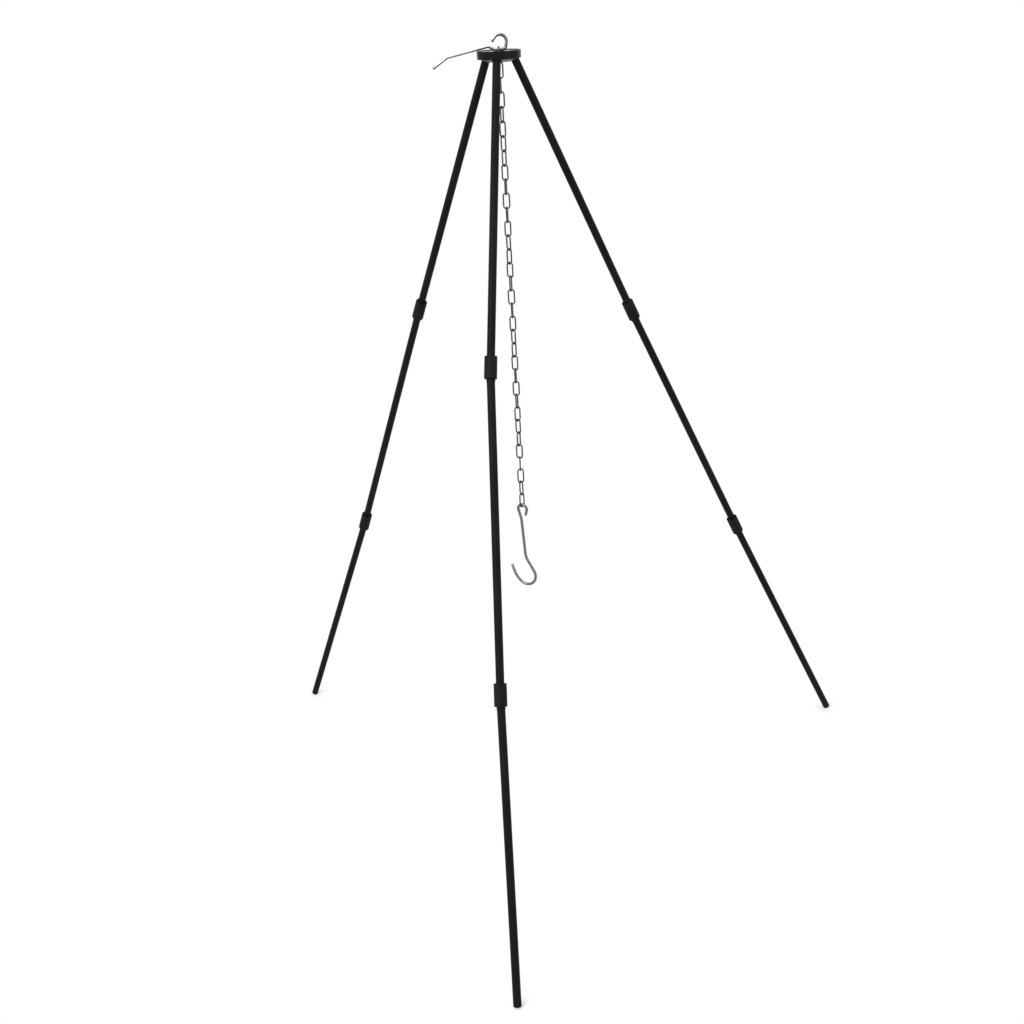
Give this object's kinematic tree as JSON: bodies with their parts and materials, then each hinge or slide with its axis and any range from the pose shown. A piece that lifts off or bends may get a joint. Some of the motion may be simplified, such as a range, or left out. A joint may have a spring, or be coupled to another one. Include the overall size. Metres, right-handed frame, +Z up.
{
  "type": "campfire tripod",
  "caption": "Knock-down campfire tripod with hinged tube legs, a link chain hung from a bent wire lever through the round head, and an open pot hook.",
  "frame": {"origin": "on the ground, straight below the middle of the head, where the fire lies", "axes": "+Z up; -Y points about towards the front leg, +X towards the right leg, so the lever's handle points along -X"},
  "size_m": [1.1025, 1.0534, 1.3803],
  "materials": {
    "black_paint": "satin black baked enamel on the leg tubes",
    "sleeve_black": "matte black coated socket sleeves",
    "head_black": "semi-gloss black enamel on the head disc",
    "cast_zinc": "die-cast zinc, as cast",
    "turned_steel": "turned, bright",
    "screw_black": "black oxide",
    "lever_nickel": "bright nickel plate, brushed by use",
    "chain_zinc": "dark zinc plate",
    "hook_zinc": "grey zinc plate"
  },
  "bodies": {
    "head": {"head_disc": "head_black", "hinge_hub": "cast_zinc", "hub_screws": "screw_black", "hinge_pins": "turned_steel"},
    "leg_front": {"leg_eye_front": "turned_steel", "upper_tube_front": "black_paint", "upper_sleeve_front": "sleeve_black"},
    "middle_front": {"middle_tube_front": "black_paint", "lower_sleeve_front": "sleeve_black"},
    "lower_front": {"lower_tube_front": "black_paint"},
    "leg_right": {"leg_eye_right": "turned_steel", "upper_tube_right": "black_paint", "upper_sleeve_right": "sleeve_black"},
    "middle_right": {"middle_tube_right": "black_paint", "lower_sleeve_right": "sleeve_black"},
    "lower_right": {"lower_tube_right": "black_paint"},
    "leg_left": {"leg_eye_left": "turned_steel", "upper_tube_left": "black_paint", "upper_sleeve_left": "sleeve_black"},
    "middle_left": {"middle_tube_left": "black_paint", "lower_sleeve_left": "sleeve_black"},
    "lower_left": {"lower_tube_left": "black_paint"},
    "lever": {"chain_lever": "lever_nickel"},
    "pot_hook": {"pot_hook": "hook_zinc"},
    "link_01": {"chain_link_01": "chain_zinc"},
    "link_02": {"chain_link_02": "chain_zinc"},
    "link_03": {"chain_link_03": "chain_zinc"},
    "link_04": {"chain_link_04": "chain_zinc"},
    "link_05": {"chain_link_05": "chain_zinc"},
    "link_06": {"chain_link_06": "chain_zinc"},
    "link_07": {"chain_link_07": "chain_zinc"},
    "link_08": {"chain_link_08": "chain_zinc"},
    "link_09": {"chain_link_09": "chain_zinc"},
    "link_10": {"chain_link_10": "chain_zinc"},
    "link_11": {"chain_link_11": "chain_zinc"},
    "link_12": {"chain_link_12": "chain_zinc"},
    "link_13": {"chain_link_13": "chain_zinc"},
    "link_14": {"chain_link_14": "chain_zinc"},
    "link_15": {"chain_link_15": "chain_zinc"},
    "link_16": {"chain_link_16": "chain_zinc"},
    "link_17": {"chain_link_17": "chain_zinc"},
    "link_18": {"chain_link_18": "chain_zinc"},
    "link_19": {"chain_link_19": "chain_zinc"},
    "link_20": {"chain_link_20": "chain_zinc"},
    "link_21": {"chain_link_21": "chain_zinc"},
    "link_22": {"chain_link_22": "chain_zinc"},
    "link_23": {"chain_link_23": "chain_zinc"},
    "link_24": {"chain_link_24": "chain_zinc"},
    "link_25": {"chain_link_25": "chain_zinc"},
    "link_26": {"chain_link_26": "chain_zinc"},
    "link_27": {"chain_link_27": "chain_zinc"},
    "link_28": {"chain_link_28": "chain_zinc"},
    "link_29": {"chain_link_29": "chain_zinc"},
    "link_30": {"chain_link_30": "chain_zinc"},
    "link_31": {"chain_link_31": "chain_zinc"},
    "link_32": {"chain_link_32": "chain_zinc"},
    "link_33": {"chain_link_33": "chain_zinc"},
    "link_34": {"chain_link_34": "chain_zinc"}
  },
  "joints": [
    {"name": "front_leg_fold", "type": "hinge", "parent": "head", "child": "leg_front", "pos_m": [-0.0034, -0.02334, 1.3465], "axis": [0.9895, -0.1444, 0], "range_deg": [0, 22]},
    {"name": "right_leg_fold", "type": "hinge", "parent": "head", "child": "leg_right", "pos_m": [0.02191, 0.00872, 1.3465], "axis": [-0.3697, 0.9291, 0], "range_deg": [0, 22]},
    {"name": "left_leg_fold", "type": "hinge", "parent": "head", "child": "leg_left", "pos_m": [-0.01851, 0.01462, 1.3465], "axis": [-0.6198, -0.7848, 0], "range_deg": [0, 22]},
    {"name": "front_middle_pull", "type": "slide", "parent": "leg_front", "child": "middle_front", "axis": [-0.0202, -0.4046, -0.9143], "range_m": [0, 0.017]},
    {"name": "front_lower_pull", "type": "slide", "parent": "middle_front", "child": "lower_front", "axis": [0.0034, -0.3752, -0.9269], "range_m": [0, 0.017]},
    {"name": "right_middle_pull", "type": "slide", "parent": "leg_right", "child": "middle_right", "axis": [0.3971, 0.1749, -0.901], "range_m": [0, 0.017]},
    {"name": "right_lower_pull", "type": "slide", "parent": "middle_right", "child": "lower_right", "axis": [0.4129, 0.1305, -0.9014], "range_m": [0, 0.017]},
    {"name": "left_middle_pull", "type": "slide", "parent": "leg_left", "child": "middle_left", "axis": [-0.2997, 0.279, -0.9123], "range_m": [0, 0.017]},
    {"name": "left_lower_pull", "type": "slide", "parent": "middle_left", "child": "lower_left", "axis": [-0.331, 0.237, -0.9134], "range_m": [0, 0.017]},
    {"name": "lever_lift", "type": "slide", "parent": "head", "child": "lever", "axis": [0, 0, -1], "range_m": [-0.012, 0]},
    {"name": "pot_hook_swing", "type": "hinge", "parent": "link_34", "child": "pot_hook", "pos_m": [0, 0, 0.58168], "axis": [-0.7054, -0.7088, 0], "range_deg": [-40, 40]},
    {"name": "link_01_swing", "type": "hinge", "parent": "lever", "child": "link_01", "pos_m": [0, 0, 1.35565], "axis": [1, 0, 0], "range_deg": [-7, 7]},
    {"name": "link_02_swing", "type": "hinge", "parent": "link_01", "child": "link_02", "pos_m": [0, 0, 1.33407], "axis": [0, 1, 0], "range_deg": [-7, 7]},
    {"name": "link_03_swing", "type": "hinge", "parent": "link_02", "child": "link_03", "pos_m": [0, 0, 1.31127], "axis": [-1, 0, 0], "range_deg": [-9, 9]},
    {"name": "link_04_swing", "type": "hinge", "parent": "link_03", "child": "link_04", "pos_m": [0, 0, 1.28848], "axis": [0.1103, -0.9939, 0], "range_deg": [-15, 15]},
    {"name": "link_05_swing", "type": "hinge", "parent": "link_04", "child": "link_05", "pos_m": [0, 0, 1.26568], "axis": [-0.968, -0.2511, 0], "range_deg": [-15, 15]},
    {"name": "link_06_swing", "type": "hinge", "parent": "link_05", "child": "link_06", "pos_m": [0, 0, 1.24287], "axis": [-0.4013, 0.916, 0], "range_deg": [-15, 15]},
    {"name": "link_07_swing", "type": "hinge", "parent": "link_06", "child": "link_07", "pos_m": [0, 0, 1.22008], "axis": [0.8347, 0.5506, 0], "range_deg": [-20, 20]},
    {"name": "link_08_swing", "type": "hinge", "parent": "link_07", "child": "link_08", "pos_m": [0, 0, 1.19728], "axis": [0.6905, -0.7233, 0], "range_deg": [-20, 20]},
    {"name": "link_09_swing", "type": "hinge", "parent": "link_08", "child": "link_09", "pos_m": [0, 0, 1.17447], "axis": [-0.5828, -0.8126, 0], "range_deg": [-20, 20]},
    {"name": "link_10_swing", "type": "hinge", "parent": "link_09", "child": "link_10", "pos_m": [0, 0, 1.15168], "axis": [-0.9092, 0.4164, 0], "range_deg": [-20, 20]},
    {"name": "link_11_swing", "type": "hinge", "parent": "link_10", "child": "link_11", "pos_m": [0, 0, 1.12888], "axis": [0.229, 0.9734, 0], "range_deg": [-20, 20]},
    {"name": "link_12_swing", "type": "hinge", "parent": "link_11", "child": "link_12", "pos_m": [0, 0, 1.10607], "axis": [0.9996, -0.0277, 0], "range_deg": [-20, 20]},
    {"name": "link_13_swing", "type": "hinge", "parent": "link_12", "child": "link_13", "pos_m": [0, 0, 1.08327], "axis": [0.1793, -0.9838, 0], "range_deg": [-25, 25]},
    {"name": "link_14_swing", "type": "hinge", "parent": "link_13", "child": "link_14", "pos_m": [0, 0, 1.06048], "axis": [0.924, 0.3824, 0], "range_deg": [-25, 25]},
    {"name": "link_15_swing", "type": "hinge", "parent": "link_14", "child": "link_15", "pos_m": [0, 0, 1.03767], "axis": [-0.5717, 0.8205, 0], "range_deg": [-25, 25]},
    {"name": "link_16_swing", "type": "hinge", "parent": "link_15", "child": "link_16", "pos_m": [0, 0, 1.01487], "axis": [-0.6762, -0.7367, 0], "range_deg": [-25, 25]},
    {"name": "link_17_swing", "type": "hinge", "parent": "link_16", "child": "link_17", "pos_m": [0, 0, 0.99208], "axis": [-0.8681, 0.4964, 0], "range_deg": [-25, 25]},
    {"name": "link_18_swing", "type": "hinge", "parent": "link_17", "child": "link_18", "pos_m": [0, 0, 0.96927], "axis": [0.2889, 0.9573, 0], "range_deg": [-25, 25]},
    {"name": "link_19_swing", "type": "hinge", "parent": "link_18", "child": "link_19", "pos_m": [0, 0, 0.94647], "axis": [0.998, -0.0637, 0], "range_deg": [-25, 25]},
    {"name": "link_20_swing", "type": "hinge", "parent": "link_19", "child": "link_20", "pos_m": [0, 0, 0.92368], "axis": [0.1677, -0.9858, 0], "range_deg": [-25, 25]},
    {"name": "link_21_swing", "type": "hinge", "parent": "link_20", "child": "link_21", "pos_m": [0, 0, 0.90087], "axis": [-0.9197, -0.3927, 0], "range_deg": [-35, 35]},
    {"name": "link_22_swing", "type": "hinge", "parent": "link_21", "child": "link_22", "pos_m": [0, 0, 0.87808], "axis": [0.5981, -0.8014, 0], "range_deg": [-35, 35]},
    {"name": "link_23_swing", "type": "hinge", "parent": "link_22", "child": "link_23", "pos_m": [0, 0, 0.85528], "axis": [0.6362, 0.7716, 0], "range_deg": [-35, 35]},
    {"name": "link_24_swing", "type": "hinge", "parent": "link_23", "child": "link_24", "pos_m": [0, 0, 0.83247], "axis": [-0.9018, 0.4322, 0], "range_deg": [-35, 35]},
    {"name": "link_25_swing", "type": "hinge", "parent": "link_24", "child": "link_25", "pos_m": [0, 0, 0.80968], "axis": [0.2007, 0.9797, 0], "range_deg": [-35, 35]},
    {"name": "link_26_swing", "type": "hinge", "parent": "link_25", "child": "link_26", "pos_m": [0, 0, 0.78687], "axis": [0.999, 0.0451, 0], "range_deg": [-35, 35]},
    {"name": "link_27_swing", "type": "hinge", "parent": "link_26", "child": "link_27", "pos_m": [0, 0, 0.76407], "axis": [0.2901, -0.957, 0], "range_deg": [-35, 35]},
    {"name": "link_28_swing", "type": "hinge", "parent": "link_27", "child": "link_28", "pos_m": [0, 0, 0.74128], "axis": [-0.8547, -0.519, 0], "range_deg": [-35, 35]},
    {"name": "link_29_swing", "type": "hinge", "parent": "link_28", "child": "link_29", "pos_m": [0, 0, 0.71847], "axis": [-0.7167, 0.6973, 0], "range_deg": [-45, 45]},
    {"name": "link_30_swing", "type": "hinge", "parent": "link_29", "child": "link_30", "pos_m": [0, 0, 0.69568], "axis": [-0.4937, -0.8696, 0], "range_deg": [-45, 45]},
    {"name": "link_31_swing", "type": "hinge", "parent": "link_30", "child": "link_31", "pos_m": [0, 0, 0.67288], "axis": [0.9666, -0.2562, 0], "range_deg": [-45, 45]},
    {"name": "link_32_swing", "type": "hinge", "parent": "link_31", "child": "link_32", "pos_m": [0, 0, 0.65007], "axis": [0, 1, 0], "range_deg": [-45, 45]},
    {"name": "link_33_swing", "type": "hinge", "parent": "link_32", "child": "link_33", "pos_m": [0, 0, 0.62728], "axis": [0.9662, 0.2579, 0], "range_deg": [-45, 45]},
    {"name": "link_34_swing", "type": "hinge", "parent": "link_33", "child": "link_34", "pos_m": [0, 0, 0.60447], "axis": [0.4999, -0.8661, 0], "range_deg": [-45, 45]}
  ]
}
